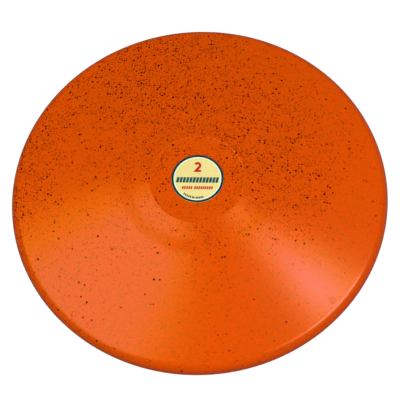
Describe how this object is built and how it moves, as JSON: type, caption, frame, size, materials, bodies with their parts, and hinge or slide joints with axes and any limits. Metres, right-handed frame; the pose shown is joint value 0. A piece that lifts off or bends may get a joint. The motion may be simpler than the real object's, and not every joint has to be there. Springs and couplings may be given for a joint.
{
  "type": "throwing discus",
  "caption": "Soft practice discus: a hollow moulded skin with a weighted core, a filler plug under the lower hub label and a round weight label on each hub face.",
  "frame": {"origin": "centre of the lower hub face, on the surface that the discus lies on", "axes": "+Z along the axis of revolution, from the lower hub face to the upper one; +X along the reading direction of the weight marks on both hub faces"},
  "size_m": [0.22, 0.22, 0.045],
  "materials": {
    "soft_skin": "satin soft vinyl, orange with fine dark specks",
    "ballast_fill": "matt compound of iron granules in a soft binder",
    "plug_plastic": "satin",
    "label_film": "printed film under a clear gloss layer"
  },
  "bodies": {
    "root": {"outer_skin": "soft_skin", "ballast_core": "ballast_fill", "filler_plug": "plug_plastic", "upper_label": "label_film", "lower_label": "label_film"}
  },
  "joints": []
}
